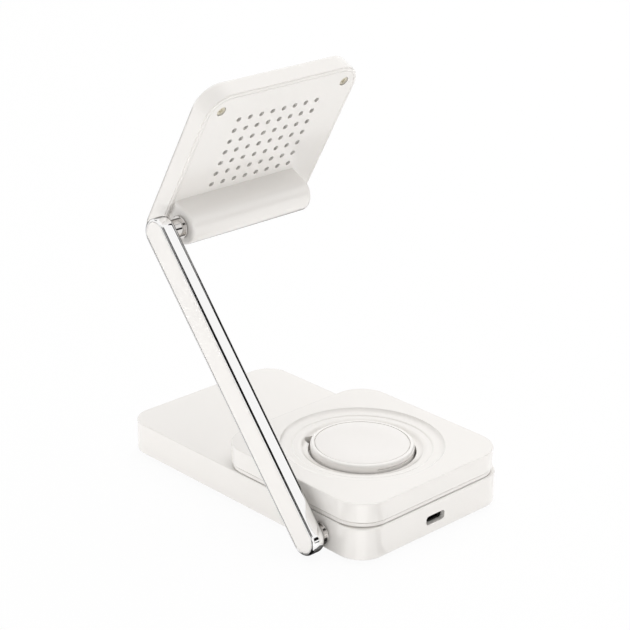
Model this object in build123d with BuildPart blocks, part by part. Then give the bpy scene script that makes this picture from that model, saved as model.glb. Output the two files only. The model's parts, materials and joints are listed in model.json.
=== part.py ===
"""A folding desk charger for a phone, a watch and a pair of earbuds.

Millimetres, +Z up, the origin on the table under the middle of the base.
The user sits on the -Y side, the power inlet faces +Y and the arm is on the +X side.
"""

import os
from math import acos, atan2, cos, hypot, radians, sin

from build123d import *

os.makedirs("parts", exist_ok=True)

# Base slab
base_width = 80.0
base_length = 136.0
base_corner = 10.5
slab_height = 13.0
wall = 2.0
edge_round = 0.5
bottom_round = 0.5

# Bottom cover, feet and screws
foot_height = 1.5
foot_radius = 5.5
foot_seat = 0.6
foot_round = 0.4
foot_inset = 11.5
cover_sink = 0.3
cover_thickness = 1.8
cover_gap = 0.12
screw_radius = 1.1
screw_length = 6.0
screw_head_radius = 2.0
screw_head_height = 0.9
screw_recess = 1.1
screw_gap = 0.1
post_radius = 2.8
base_screw_inset = 6.5
base_screw_spread = 60.0
lead_hatch_width = 24.0
lead_hatch_length = 22.0

# Groove and raised block
groove_height = 2.1
groove_depth = 0.9
band_line = 0.3
band_line_depth = 0.5
band_seat = 0.4
band_gap = 0.05
block_length = 79.4
block_corner = 13.0
block_height = 7.9
block_under_round = 0.3
block_screw_inset = 9.0

# Stepped dish: radii of its steps, and their depths below the block's top
dish_radius = 32.3
outer_ledge_radius = 29.8
ripple_radius = 27.9
inner_ledge_radius = 26.9
inner_step_radius = 25.3
floor_radius = 21.7
outer_ledge_depth = 1.1
inner_ledge_depth = 1.5
floor_depth = 2.9
floor_thickness = 1.6

# Watch puck and its flip hinge
puck_radius = 20.4
puck_height = 7.0
puck_proud = 0.2
puck_gap = 0.8
puck_edge_round = 0.9
puck_wall = 1.5
puck_cavity_radius = 14.6
disc_radius = 18.7
disc_thickness = 0.7
disc_gap = 0.1
disc_dish_radius = 11.0
disc_dish_depth = 0.35
pin_radius = 0.8
pin_length = 18.0
pin_setback = 2.9
pin_depth = 2.9
pin_fit = 0.02
pin_running_gap = 0.05
lug_spacing = 13.0
lug_thickness = 2.4
lug_wall = 0.7
lug_gap = 0.3
slot_gap = 1.2
slot_half_width = 11.8
slot_corner = 2.2
cup_wall = 1.6
cup_floor = 1.0
cup_room = 2.2
nail_groove_half_angle = 28.0
nail_groove_height = 0.6
nail_groove_depth = 0.7
nail_groove_drop = 1.7
puck_coil_radius = 13.6
puck_coil_hole = 7.0
puck_coil_thickness = 1.6
puck_magnet_radius = 5.6
puck_magnet_thickness = 3.2

# Power inlet and circuit board
inlet_width = 10.1
inlet_height = 3.7
inlet_corner = 1.3
inlet_z = 7.4
receptacle_width = 8.94
receptacle_height = 3.26
receptacle_length = 7.3
receptacle_wall = 0.3
receptacle_setback = 0.2
tongue_width = 6.7
tongue_thickness = 0.7
tongue_length = 4.6
tongue_round = 0.17
board_width = 48.0
board_length = 44.0
board_thickness = 1.2
board_setback = 2.5
board_post_inset = 4.0
board_post_radius = 2.0

# Earbud coil under the tray
earbud_setback = 28.0
earbud_coil_radius = 18.0
earbud_coil_hole = 7.0
earbud_coil_thickness = 1.5
earbud_ferrite_radius = 20.0
earbud_ferrite_thickness = 0.8

# Arm
arm_setback = 21.0
arm_z = 7.25
arm_side_gap = 2.9
arm_thickness = 6.9
arm_half_width = 6.0
arm_length = 128.3
arm_angle = 130.2
arm_rim = 0.6
arm_edge_round = 0.5
arm_back_round = 2.1
plate_thickness = 1.2
plate_gap = 0.08
plate_edge_round = 0.2
channel_half_width = 3.4
channel_depth = 3.2
ribbon_width = 4.0
ribbon_thickness = 0.3

# Hinge shafts, collars and what holds them
shaft_radius = 2.4
shaft_bore = 1.4
shaft_fit = 0.02
shaft_running_gap = 0.05
shaft_flange_radius = 3.1
shaft_flange_thickness = 0.8
collar_neck_radius = 3.6
collar_flange_radius = 4.5
collar_flange_thickness = 0.7
collar_gap = 0.25
collar_round = 0.2
bush_radius = 3.2
bush_flange_radius = 3.5
bush_flange_thickness = 1.2
bush_fit = 0.03
washer_radius = 3.3
washer_thickness = 0.4
washer_gap = 0.05
washer_count = 2
nut_radius = 3.2
nut_sides = 6
nut_thickness = 2.4
shaft_end = 0.8

# Phone head
head_angle = 61.7
head_size = 78.3
head_corner = 10.5
head_thickness = 8.7
head_top = 58.8
head_offset = 7.3
head_wall = 1.5
head_front_wall = 1.8
head_front_round = 2.0
head_back_round = 0.2
back_thickness = 1.6
back_gap = 0.12
lip_inset = 0.35
lip_thickness = 0.5
lip_round = 0.2
lip_line_inset = 1.1
lip_line_width = 0.22
lip_line_depth = 0.2
vent_radius = 1.15
vent_columns = 8
vent_rows = 7
vent_pitch_x = 5.78
vent_pitch_v = 5.59
vent_drop = 31.0
head_screw_inset = 7.4
head_screw_radius = 1.0
head_screw_head_radius = 1.9
head_screw_head_height = 0.6
head_screw_length = 4.2
head_screw_recess = 0.9
head_screw_gap = 0.2
head_post_radius = 2.5
pad_radius = 28.5
pad_thickness = 0.7
pad_proud = 0.2
pad_gap = 0.1
pad_groove_radius = 24.0
pad_groove_width = 0.6
pad_groove_depth = 0.25
magnet_ring_radius = 25.2
magnet_count = 18
magnet_length = 7.2
magnet_width = 4.0
magnet_thickness = 1.2
head_coil_radius = 21.0
head_coil_hole = 9.0
head_coil_thickness = 1.4
head_ferrite_radius = 21.5
head_ferrite_thickness = 0.8

# Hinge barrel on the head's back
barrel_radius = 7.2
barrel_left_gap = 5.9
barrel_length = 62.5
barrel_web_rise = 6.9
barrel_end_round = 1.2
barrel_bore = 5.0
barrel_bore_length = 22.0
barrel_end_wall = 1.5
barrel_hole_gap = 0.5
upper_bush_length = 9.0

# Levels and places worked out from the sizes above
slab_bottom = foot_height
slab_top = slab_bottom + slab_height
tray_under = slab_top - wall
seat_level = slab_top - band_seat
cover_bottom = slab_bottom + cover_sink
cover_top = cover_bottom + cover_thickness
block_bottom = slab_top + groove_height
block_top = block_bottom + block_height
block_y = (base_length - block_length) / 2
dish_floor = block_top - floor_depth
dish_under = dish_floor - floor_thickness
puck_top = block_top + puck_proud
puck_bottom = puck_top - puck_height
well_radius = puck_radius + puck_gap
slot_reach = puck_radius + slot_gap
pin_y = block_y - puck_radius + pin_setback
pin_z = puck_top - pin_depth
lug_radius = pin_radius + lug_wall
rear_face = base_length / 2
side_face = base_width / 2
earbud_y = earbud_setback - rear_face
board_top = inlet_z - receptacle_height / 2
board_bottom = board_top - board_thickness
board_y = rear_face - wall - board_setback - board_length / 2
arm_y = rear_face - arm_setback
arm_inner = side_face + arm_side_gap
arm_outer = arm_inner + arm_thickness
plate_seat = arm_outer - plate_thickness
channel_floor = plate_seat - channel_depth
head_y = arm_y + arm_length * cos(radians(arm_angle))
head_z = arm_z + arm_length * sin(radians(arm_angle))
head_front_level = head_offset + head_thickness
head_mid = head_top - head_size / 2
head_inside = head_front_level - head_front_wall
lip_level = head_offset + lip_thickness
back_inside = head_offset + back_thickness
barrel_left = arm_inner - barrel_left_gap
barrel_right = barrel_left - barrel_length
washer_pitch = washer_thickness + washer_gap
lean = radians(head_angle)

# Planes: the arm lies flat in its own plane, and the head's front looks along its plane's normal
arm_plane = Plane(
    origin=(arm_inner, arm_y, arm_z),
    x_dir=(0, cos(radians(arm_angle)), sin(radians(arm_angle))),
    z_dir=(1, 0, 0),
)
head_plane = Plane(
    origin=(0, head_y, head_z),
    x_dir=(1, 0, 0),
    z_dir=(0, -sin(lean), cos(lean)),
)
barrel_plane = Plane(
    origin=(barrel_right, head_y, head_z),
    x_dir=(0, cos(lean), sin(lean)),
    z_dir=(1, 0, 0),
)
front_axis = Axis(head_plane.origin, head_plane.z_dir)
lower_hinge = Plane(origin=(0, arm_y, arm_z), x_dir=(1, 0, 0), z_dir=(0, 0, 1))
upper_hinge = Plane(origin=(0, head_y, head_z), x_dir=(1, 0, 0), z_dir=(0, 0, 1))

# Where the repeated fasteners, feet and posts stand
foot_x = side_face - foot_inset
foot_y = rear_face - foot_inset
base_screw_x = side_face - base_screw_inset
base_screw_y = base_screw_spread / 2
base_screw_places = [
    (x, y) for x in (-base_screw_x, base_screw_x) for y in (-base_screw_y, base_screw_y)
]
block_screw_x = side_face - block_screw_inset
block_screw_y = block_length / 2 - block_screw_inset
block_screw_places = [
    (x, block_y + y) for x in (-block_screw_x, block_screw_x) for y in (-block_screw_y, block_screw_y)
]
board_post_x = board_width / 2 - board_post_inset
board_post_y = board_length / 2 - board_post_inset
board_post_places = [
    (x, board_y + y) for x in (-board_post_x, board_post_x) for y in (-board_post_y, board_post_y)
]
head_screw_spread = head_size / 2 - head_screw_inset
head_screw_places = [
    (x, head_mid + v)
    for x in (-head_screw_spread, head_screw_spread)
    for v in (-head_screw_spread, head_screw_spread)
]


def save(piece, name):
    """Label a finished piece and write it as its own file."""
    piece.part.label = name
    export_step(piece.part, f"parts/{name}.step")


# Base shell: the slab, open below, with the block's seat, the inlet slot and the hinge hole
with BuildPart() as base_shell:
    with BuildSketch(Plane.XY.offset(slab_bottom)):
        RectangleRounded(base_width, base_length, base_corner)
    extrude(amount=slab_height)
    fillet(base_shell.faces().sort_by(Axis.Z)[0].edges(), bottom_round)
    fillet(base_shell.faces().sort_by(Axis.Z)[-1].edges(), edge_round)
    with BuildSketch(Plane.XY.offset(slab_bottom)):
        RectangleRounded(base_width - 2 * wall, base_length - 2 * wall, base_corner - wall)
    extrude(amount=slab_height - wall, mode=Mode.SUBTRACT)
    with BuildSketch(Plane.XY.offset(cover_top)):
        with Locations(*base_screw_places):
            Circle(post_radius)
            Circle(screw_radius + screw_gap, mode=Mode.SUBTRACT)
    extrude(amount=tray_under - cover_top)
    with BuildSketch(Plane.XY.offset(seat_level)):
        with Locations((0, block_y)):
            RectangleRounded(
                base_width - 2 * (groove_depth - band_gap),
                block_length - 2 * (groove_depth - band_gap),
                block_corner - groove_depth + band_gap,
            )
    extrude(amount=band_seat, mode=Mode.SUBTRACT)
    with BuildSketch(Plane.XY.offset(tray_under)):
        with Locations(*block_screw_places):
            Circle(screw_radius + screw_gap)
        with Locations((0, block_y)):
            Rectangle(lead_hatch_width, lead_hatch_length)
    extrude(amount=wall, mode=Mode.SUBTRACT)
    with BuildSketch(Plane.XZ.offset(-rear_face)):
        with Locations((0, inlet_z)):
            RectangleRounded(inlet_width, inlet_height, inlet_corner)
    extrude(amount=wall, mode=Mode.SUBTRACT)
    with BuildSketch(Plane.YZ.offset(side_face)):
        with Locations((arm_y, arm_z)):
            Circle(bush_radius + bush_fit)
    extrude(amount=-wall, mode=Mode.SUBTRACT)
save(base_shell, "base_shell")

# Bottom cover with foot recesses, screw recesses and the board's posts
with BuildPart() as base_bottom:
    with BuildSketch(Plane.XY.offset(cover_bottom)):
        RectangleRounded(
            base_width - 2 * (wall + cover_gap),
            base_length - 2 * (wall + cover_gap),
            base_corner - wall - cover_gap,
        )
    extrude(amount=cover_thickness)
    with BuildSketch(Plane.XY.offset(cover_top)):
        with Locations(*board_post_places):
            Circle(board_post_radius)
    extrude(amount=board_bottom - cover_top)
    with BuildSketch(Plane.XY.offset(cover_bottom)):
        with GridLocations(2 * foot_x, 2 * foot_y, 2, 2):
            Circle(foot_radius + screw_gap)
    extrude(amount=foot_seat, mode=Mode.SUBTRACT)
    with BuildSketch(Plane.XY.offset(cover_bottom)):
        with Locations(*base_screw_places):
            Circle(screw_head_radius + screw_gap)
    extrude(amount=screw_recess, mode=Mode.SUBTRACT)
    with BuildSketch(Plane.XY.offset(cover_bottom)):
        with Locations(*base_screw_places):
            Circle(screw_radius + screw_gap)
    extrude(amount=cover_thickness, mode=Mode.SUBTRACT)
save(base_bottom, "base_bottom")

# Rubber feet, seated in the bottom cover
foot_places = {
    "foot_front_right": (foot_x, -foot_y),
    "foot_front_left": (-foot_x, -foot_y),
    "foot_rear_right": (foot_x, foot_y),
    "foot_rear_left": (-foot_x, foot_y),
}
for foot_name, foot_place in foot_places.items():
    with BuildPart() as foot:
        with BuildSketch():
            with Locations(foot_place):
                Circle(foot_radius)
        extrude(amount=cover_bottom + foot_seat)
        fillet(foot.faces().sort_by(Axis.Z)[0].edges(), foot_round)
    save(foot, foot_name)

# Screws that hold the bottom cover, heads down
screw_seat = cover_bottom + screw_recess
with BuildPart() as base_screws:
    with BuildSketch(Plane.XY.offset(screw_seat)):
        with Locations(*base_screw_places):
            Circle(screw_head_radius)
    extrude(amount=-screw_head_height)
    with BuildSketch(Plane.XY.offset(screw_seat)):
        with Locations(*base_screw_places):
            Circle(screw_radius)
    extrude(amount=screw_length)
save(base_screws, "base_screws")

# Recessed band between the slab and the block, let into the slab and cut back along both edges
line_depth = groove_depth + band_line_depth
inner_depth = groove_depth + wall
band_zones = [
    (seat_level, slab_top + band_line, line_depth),
    (slab_top + band_line, block_bottom - band_line, groove_depth),
    (block_bottom - band_line, block_bottom, line_depth),
]
with BuildPart() as waist_band:
    for zone_low, zone_high, depth in band_zones:
        with BuildSketch(Plane.XY.offset(zone_low)):
            with Locations((0, block_y)):
                RectangleRounded(base_width - 2 * depth, block_length - 2 * depth, block_corner - depth)
        extrude(amount=zone_high - zone_low)
    with BuildSketch(Plane.XY.offset(seat_level)):
        with Locations((0, block_y)):
            RectangleRounded(
                base_width - 2 * inner_depth, block_length - 2 * inner_depth, block_corner - inner_depth
            )
    extrude(amount=block_bottom - seat_level, mode=Mode.SUBTRACT)
save(waist_band, "waist_band")


def soft_step(start, end):
    """An S of two equal arcs that leaves and arrives level, from the outside inwards."""
    middle = ((start[0] + end[0]) / 2, (start[1] + end[1]) / 2)
    TangentArc(start, middle, tangent=(-1, 0))
    TangentArc(middle, end, tangent=(1, 0), tangent_from_first=False)


# Raised block with the stepped dish and the puck's well, with a notch where the puck swings through
with BuildPart() as block_cover:
    with BuildSketch(Plane.XY.offset(block_bottom)):
        with Locations((0, block_y)):
            RectangleRounded(base_width, block_length, block_corner)
    extrude(amount=block_height)
    fillet(block_cover.faces().sort_by(Axis.Z)[-1].edges(), edge_round)
    fillet(block_cover.faces().sort_by(Axis.Z)[0].edges(), block_under_round)
    with BuildSketch(Plane.XY.offset(block_bottom)):
        with Locations((0, block_y)):
            RectangleRounded(base_width - 2 * wall, block_length - 2 * wall, block_corner - wall)
    extrude(amount=block_height - wall, mode=Mode.SUBTRACT)
    with BuildSketch(Plane.XY.offset(dish_under)):
        with Locations((0, block_y)):
            Circle(dish_radius + wall)
    extrude(amount=block_top - wall - dish_under)
    with BuildSketch(Plane.XY.offset(seat_level)):
        with Locations(*block_screw_places):
            Circle(post_radius)
            Circle(screw_radius + screw_gap, mode=Mode.SUBTRACT)
    extrude(amount=block_top - wall - seat_level)
    outer_ledge = block_top - outer_ledge_depth
    inner_ledge = block_top - inner_ledge_depth
    with BuildSketch(Plane.XZ.offset(-block_y)):
        with BuildLine():
            TangentArc(
                (dish_radius, block_top),
                (outer_ledge_radius, outer_ledge),
                tangent=(1, 0),
                tangent_from_first=False,
            )
            Line((outer_ledge_radius, outer_ledge), (ripple_radius, outer_ledge))
            soft_step((ripple_radius, outer_ledge), (inner_ledge_radius, inner_ledge))
            Line((inner_ledge_radius, inner_ledge), (inner_step_radius, inner_ledge))
            soft_step((inner_step_radius, inner_ledge), (floor_radius, dish_floor))
            Polyline((floor_radius, dish_floor), (0, dish_floor), (0, block_top), (dish_radius, block_top))
        make_face()
    revolve(axis=Axis((0, block_y, 0), (0, 0, 1)), mode=Mode.SUBTRACT)
    with BuildSketch(Plane.XY.offset(dish_under)):
        with Locations((0, block_y)):
            Circle(well_radius)
    extrude(amount=floor_thickness, mode=Mode.SUBTRACT)
    with BuildSketch(Plane.XY.offset(dish_under)):
        with Locations((0, block_y - slot_reach / 2)):
            RectangleRounded(2 * slot_half_width, slot_reach, slot_corner)
    extrude(amount=inner_ledge - dish_under, mode=Mode.SUBTRACT)
save(block_cover, "block_cover")

# Screws that hold the block to the slab, heads inside the slab
with BuildPart() as block_screws:
    with BuildSketch(Plane.XY.offset(tray_under)):
        with Locations(*block_screw_places):
            Circle(screw_head_radius)
    extrude(amount=-screw_head_height)
    with BuildSketch(Plane.XY.offset(tray_under)):
        with Locations(*block_screw_places):
            Circle(screw_radius)
    extrude(amount=screw_length)
save(block_screws, "block_screws")

# Cup under the dish, with the two lugs that carry the puck's pin
cup_radius = slot_reach + cup_room
lug_places = [-lug_spacing / 2, lug_spacing / 2]
with BuildPart() as puck_cup:
    lug_foot = seat_level + cup_floor
    with BuildSketch(Plane.XY.offset(seat_level)):
        with Locations((0, block_y)):
            Circle(cup_radius + cup_wall)
    extrude(amount=dish_under - seat_level)
    with BuildSketch(Plane.XY.offset(lug_foot)):
        with Locations((0, block_y)):
            Circle(cup_radius)
    extrude(amount=dish_under - lug_foot, mode=Mode.SUBTRACT)
    for lug_x in lug_places:
        with BuildSketch(Plane.YZ.offset(lug_x - lug_thickness / 2)):
            with Locations((pin_y, (lug_foot + pin_z) / 2)):
                Rectangle(2 * lug_radius, pin_z - lug_foot)
            with Locations((pin_y, pin_z)):
                Circle(lug_radius)
                Circle(pin_radius + pin_fit, mode=Mode.SUBTRACT)
        extrude(amount=lug_thickness)
save(puck_cup, "puck_cup")

# Steel pin of the flip hinge
with BuildPart() as puck_pin:
    with BuildSketch(Plane.YZ.offset(-pin_length / 2)):
        with Locations((pin_y, pin_z)):
            Circle(pin_radius)
    extrude(amount=pin_length)
save(puck_pin, "puck_pin")

# Watch puck: a thick disc with a nail groove at its rear and two slots for the lugs at its front
disc_seat = puck_top - disc_thickness
puck_floor = puck_bottom + puck_wall
nail_groove_top = puck_top - nail_groove_drop
lug_room = lug_radius + lug_gap
with BuildPart() as puck_shell:
    with BuildSketch(Plane.XY.offset(puck_bottom)):
        with Locations((0, block_y)):
            Circle(puck_radius)
    extrude(amount=puck_height)
    fillet(puck_shell.edges().sort_by(Axis.Z)[-1], puck_edge_round)
    with BuildSketch(Plane.XY.offset(disc_seat)):
        with Locations((0, block_y)):
            Circle(disc_radius + disc_gap)
    extrude(amount=disc_thickness, mode=Mode.SUBTRACT)
    with BuildSketch(Plane.XY.offset(puck_floor)):
        with Locations((0, block_y)):
            Circle(puck_cavity_radius)
    extrude(amount=disc_seat - puck_floor, mode=Mode.SUBTRACT)
    with BuildSketch(Plane.XY.offset(nail_groove_top)):
        with BuildLine():
            nail_groove_start = 90 - nail_groove_half_angle
            nail_groove_turn = 2 * nail_groove_half_angle
            groove_outer = CenterArc(
                (0, block_y), puck_radius + nail_groove_depth, nail_groove_start, nail_groove_turn
            )
            groove_inner = CenterArc(
                (0, block_y), puck_radius - nail_groove_depth, nail_groove_start, nail_groove_turn
            )
            Line(groove_outer @ 0, groove_inner @ 0)
            Line(groove_outer @ 1, groove_inner @ 1)
        make_face()
    extrude(amount=-nail_groove_height, mode=Mode.SUBTRACT)
    for lug_x in lug_places:
        with BuildSketch(Plane.YZ.offset(lug_x - lug_thickness / 2 - lug_gap)):
            slot_front = block_y - puck_radius - lug_gap
            slot_rear = pin_y + lug_room
            slot_low = puck_bottom - lug_gap
            slot_high = pin_z + lug_room
            with Locations(((slot_front + slot_rear) / 2, (slot_low + slot_high) / 2)):
                Rectangle(slot_rear - slot_front, slot_high - slot_low)
        extrude(amount=lug_thickness + 2 * lug_gap, mode=Mode.SUBTRACT)
    with BuildSketch(Plane.YZ.offset(-pin_length / 2 - lug_gap)):
        with Locations((pin_y, pin_z)):
            Circle(pin_radius + pin_running_gap)
    extrude(amount=pin_length + 2 * lug_gap, mode=Mode.SUBTRACT)
save(puck_shell, "puck_shell")

# Puck's face: a thin disc, hollowed a little for a watch's back
with BuildPart() as puck_disc:
    with BuildSketch(Plane.XZ.offset(-block_y)):
        with BuildLine():
            Polyline(
                (0, puck_top - disc_dish_depth),
                (0, disc_seat),
                (disc_radius, disc_seat),
                (disc_radius, puck_top),
                (disc_dish_radius, puck_top),
            )
            TangentArc((0, puck_top - disc_dish_depth), (disc_dish_radius, puck_top), tangent=(1, 0))
        make_face()
    revolve(axis=Axis((0, block_y, 0), (0, 0, 1)))
save(puck_disc, "puck_disc")

# Puck's coil under its face, round a magnet that stands on the puck's floor
with BuildPart() as puck_coil:
    with BuildSketch(Plane.XY.offset(disc_seat)):
        with Locations((0, block_y)):
            Circle(puck_coil_radius)
            Circle(puck_coil_hole, mode=Mode.SUBTRACT)
    extrude(amount=-puck_coil_thickness)
save(puck_coil, "puck_coil")

with BuildPart() as puck_magnet:
    with BuildSketch(Plane.XY.offset(puck_floor)):
        with Locations((0, block_y)):
            Circle(puck_magnet_radius)
    extrude(amount=puck_magnet_thickness)
save(puck_magnet, "puck_magnet")

# Circuit board with its larger parts: chokes, capacitors and chips, as (x, y, length, width, height)
board_parts = [
    (-14, 10, 7.0, 7.0, 3.0),
    (-14, -4, 7.0, 7.0, 3.0),
    (-3, 3, 5.0, 5.0, 0.9),
    (8, 8, 4.0, 4.0, 0.9),
    (14, -2, 6.0, 3.5, 1.6),
    (4, -10, 8.0, 5.0, 1.2),
]
with BuildPart() as main_board:
    with BuildSketch(Plane.XY.offset(board_bottom)):
        with Locations((0, board_y)):
            Rectangle(board_width, board_length)
    extrude(amount=board_thickness)
    for part_x, part_y, part_length, part_width, part_height in board_parts:
        with BuildSketch(Plane.XY.offset(board_top)):
            with Locations((part_x, board_y + part_y)):
                Rectangle(part_length, part_width)
        extrude(amount=part_height)
save(main_board, "main_board")

# Power receptacle: a drawn shell, open at its mouth, round a contact tongue
receptacle_mouth = rear_face - wall - receptacle_setback
receptacle_back = receptacle_mouth - receptacle_length
with BuildPart() as inlet_shell:
    with BuildSketch(Plane.XZ.offset(-receptacle_mouth)):
        with Locations((0, inlet_z)):
            SlotOverall(receptacle_width, receptacle_height)
    extrude(amount=receptacle_length)
    with BuildSketch(Plane.XZ.offset(-receptacle_mouth)):
        with Locations((0, inlet_z)):
            SlotOverall(receptacle_width - 2 * receptacle_wall, receptacle_height - 2 * receptacle_wall)
    extrude(amount=receptacle_length - receptacle_wall, mode=Mode.SUBTRACT)
save(inlet_shell, "inlet_shell")

with BuildPart() as inlet_tongue:
    with BuildSketch(Plane.XZ.offset(-receptacle_back - receptacle_wall)):
        with Locations((0, inlet_z)):
            RectangleRounded(tongue_width, tongue_thickness, tongue_round)
    extrude(amount=-tongue_length)
save(inlet_tongue, "inlet_tongue")

# Earbud coil and its ferrite sheet, against the underside of the tray
with BuildPart() as earbud_coil:
    with BuildSketch(Plane.XY.offset(tray_under)):
        with Locations((0, earbud_y)):
            Circle(earbud_coil_radius)
            Circle(earbud_coil_hole, mode=Mode.SUBTRACT)
    extrude(amount=-earbud_coil_thickness)
save(earbud_coil, "earbud_coil")

with BuildPart() as earbud_ferrite:
    with BuildSketch(Plane.XY.offset(tray_under - earbud_coil_thickness)):
        with Locations((0, earbud_y)):
            Circle(earbud_ferrite_radius)
    extrude(amount=-earbud_ferrite_thickness)
save(earbud_ferrite, "earbud_ferrite")

# Arm frame: a bright flat bar with round ends, pocketed for its plate and its lead
with BuildPart() as arm_frame:
    with BuildSketch(arm_plane):
        with Locations((arm_length / 2, 0)):
            SlotCenterToCenter(arm_length, 2 * arm_half_width)
    extrude(amount=arm_thickness)
    fillet(arm_frame.faces().sort_by(Axis.X)[-1].edges(), arm_edge_round)
    fillet(arm_frame.faces().sort_by(Axis.X)[0].edges(), arm_back_round)
    with BuildSketch(arm_plane.offset(arm_thickness)):
        with Locations((arm_length / 2, 0)):
            SlotCenterToCenter(arm_length, 2 * (arm_half_width - arm_rim))
    extrude(amount=-plate_thickness, mode=Mode.SUBTRACT)
    with BuildSketch(arm_plane.offset(arm_thickness - plate_thickness)):
        with Locations((arm_length / 2, 0)):
            SlotCenterToCenter(arm_length, 2 * channel_half_width)
    extrude(amount=-channel_depth, mode=Mode.SUBTRACT)
    with BuildSketch(arm_plane):
        with Locations((0, 0), (arm_length, 0)):
            Circle(shaft_radius + shaft_fit)
    extrude(amount=arm_thickness - plate_thickness - channel_depth, mode=Mode.SUBTRACT)
save(arm_frame, "arm_frame")

# White plate let into the arm's outer face
with BuildPart() as arm_plate:
    with BuildSketch(arm_plane.offset(arm_thickness - plate_thickness)):
        with Locations((arm_length / 2, 0)):
            SlotCenterToCenter(arm_length, 2 * (arm_half_width - arm_rim - plate_gap))
    extrude(amount=plate_thickness)
    fillet(arm_plate.faces().sort_by(Axis.X)[-1].edges(), plate_edge_round)
save(arm_plate, "arm_plate")

# Flat lead along the arm, lying on the flanges of the two hollow shafts
ribbon_level = arm_thickness - plate_thickness - channel_depth + shaft_flange_thickness
with BuildPart() as arm_ribbon:
    with BuildSketch(arm_plane.offset(ribbon_level)):
        with Locations((arm_length / 2, 0)):
            SlotCenterToCenter(arm_length, ribbon_width)
    extrude(amount=ribbon_thickness)
save(arm_ribbon, "arm_ribbon")


def turned(points):
    """Draw a half section from its (along X, radius) points."""
    Polygon(*points, align=None)


# Lower hinge: collar against the base, hollow shaft, bush in the wall, washers and nut inside
lower_axis = Axis((0, arm_y, arm_z), (1, 0, 0))
lower_collar_end = side_face + collar_gap
bush_inner_end = side_face - wall - bush_flange_thickness
lower_washer_end = bush_inner_end - washer_gap
lower_nut_end = lower_washer_end - washer_count * washer_pitch
lower_shaft_end = lower_nut_end - nut_thickness - shaft_end
with BuildPart() as lower_collar:
    with BuildSketch(lower_hinge):
        turned([
            (lower_collar_end, shaft_radius + shaft_fit),
            (lower_collar_end, collar_flange_radius),
            (lower_collar_end + collar_flange_thickness, collar_flange_radius),
            (lower_collar_end + collar_flange_thickness, collar_neck_radius),
            (arm_inner, collar_neck_radius),
            (arm_inner, shaft_radius + shaft_fit),
        ])
    revolve(axis=lower_axis)
    fillet(lower_collar.edges().filter_by(GeomType.CIRCLE).sort_by(SortBy.RADIUS)[-2:], collar_round)
save(lower_collar, "lower_collar")


def shaft_section(end, seat):
    """Half section of a hollow shaft with a flange that sits on the arm's channel floor."""
    turned([
        (end, shaft_bore),
        (end, shaft_radius),
        (seat, shaft_radius),
        (seat, shaft_flange_radius),
        (seat + shaft_flange_thickness, shaft_flange_radius),
        (seat + shaft_flange_thickness, shaft_bore),
    ])


with BuildPart() as lower_shaft:
    with BuildSketch(lower_hinge):
        shaft_section(lower_shaft_end, channel_floor)
    revolve(axis=lower_axis)
save(lower_shaft, "lower_shaft")

with BuildPart() as lower_bush:
    with BuildSketch(lower_hinge):
        turned([
            (bush_inner_end, shaft_radius + shaft_running_gap),
            (bush_inner_end, bush_flange_radius),
            (side_face - wall, bush_flange_radius),
            (side_face - wall, bush_radius),
            (side_face, bush_radius),
            (side_face, shaft_radius + shaft_running_gap),
        ])
    revolve(axis=lower_axis)
save(lower_bush, "lower_bush")

with BuildPart() as lower_washers:
    for washer_index in range(washer_count):
        with BuildSketch(Plane.YZ.offset(lower_washer_end - washer_index * washer_pitch)):
            with Locations((arm_y, arm_z)):
                Circle(washer_radius)
                Circle(shaft_radius + shaft_fit, mode=Mode.SUBTRACT)
        extrude(amount=-washer_thickness)
save(lower_washers, "lower_washers")

with BuildPart() as lower_nut:
    with BuildSketch(Plane.YZ.offset(lower_nut_end)):
        with Locations((arm_y, arm_z)):
            RegularPolygon(nut_radius, nut_sides)
            Circle(shaft_radius + shaft_fit, mode=Mode.SUBTRACT)
    extrude(amount=-nut_thickness)
save(lower_nut, "lower_nut")

# Upper hinge: the same set, turned round, between the arm and the head's barrel
upper_axis = Axis((0, head_y, head_z), (1, 0, 0))
upper_collar_end = barrel_left + collar_gap
bore_left = barrel_left - barrel_end_wall
upper_bush_end = bore_left - upper_bush_length
upper_washer_end = upper_bush_end - washer_gap
upper_nut_end = upper_washer_end - washer_count * washer_pitch
upper_shaft_end = upper_nut_end - nut_thickness - shaft_end
with BuildPart() as upper_collar:
    with BuildSketch(upper_hinge):
        turned([
            (upper_collar_end, shaft_radius + shaft_fit),
            (upper_collar_end, collar_flange_radius),
            (upper_collar_end + collar_flange_thickness, collar_flange_radius),
            (upper_collar_end + collar_flange_thickness, collar_neck_radius),
            (arm_inner, collar_neck_radius),
            (arm_inner, shaft_radius + shaft_fit),
        ])
    revolve(axis=upper_axis)
    fillet(upper_collar.edges().filter_by(GeomType.CIRCLE).sort_by(SortBy.RADIUS)[-2:], collar_round)
save(upper_collar, "upper_collar")

with BuildPart() as upper_shaft:
    with BuildSketch(upper_hinge):
        shaft_section(upper_shaft_end, channel_floor)
    revolve(axis=upper_axis)
save(upper_shaft, "upper_shaft")

with BuildPart() as upper_bush:
    with BuildSketch(Plane.YZ.offset(bore_left)):
        with Locations((head_y, head_z)):
            Circle(barrel_bore - bush_fit)
            Circle(shaft_radius + shaft_running_gap, mode=Mode.SUBTRACT)
    extrude(amount=-upper_bush_length)
save(upper_bush, "upper_bush")

with BuildPart() as upper_washers:
    for washer_index in range(washer_count):
        with BuildSketch(Plane.YZ.offset(upper_washer_end - washer_index * washer_pitch)):
            with Locations((head_y, head_z)):
                Circle(washer_radius)
                Circle(shaft_radius + shaft_fit, mode=Mode.SUBTRACT)
        extrude(amount=-washer_thickness)
save(upper_washers, "upper_washers")

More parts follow.
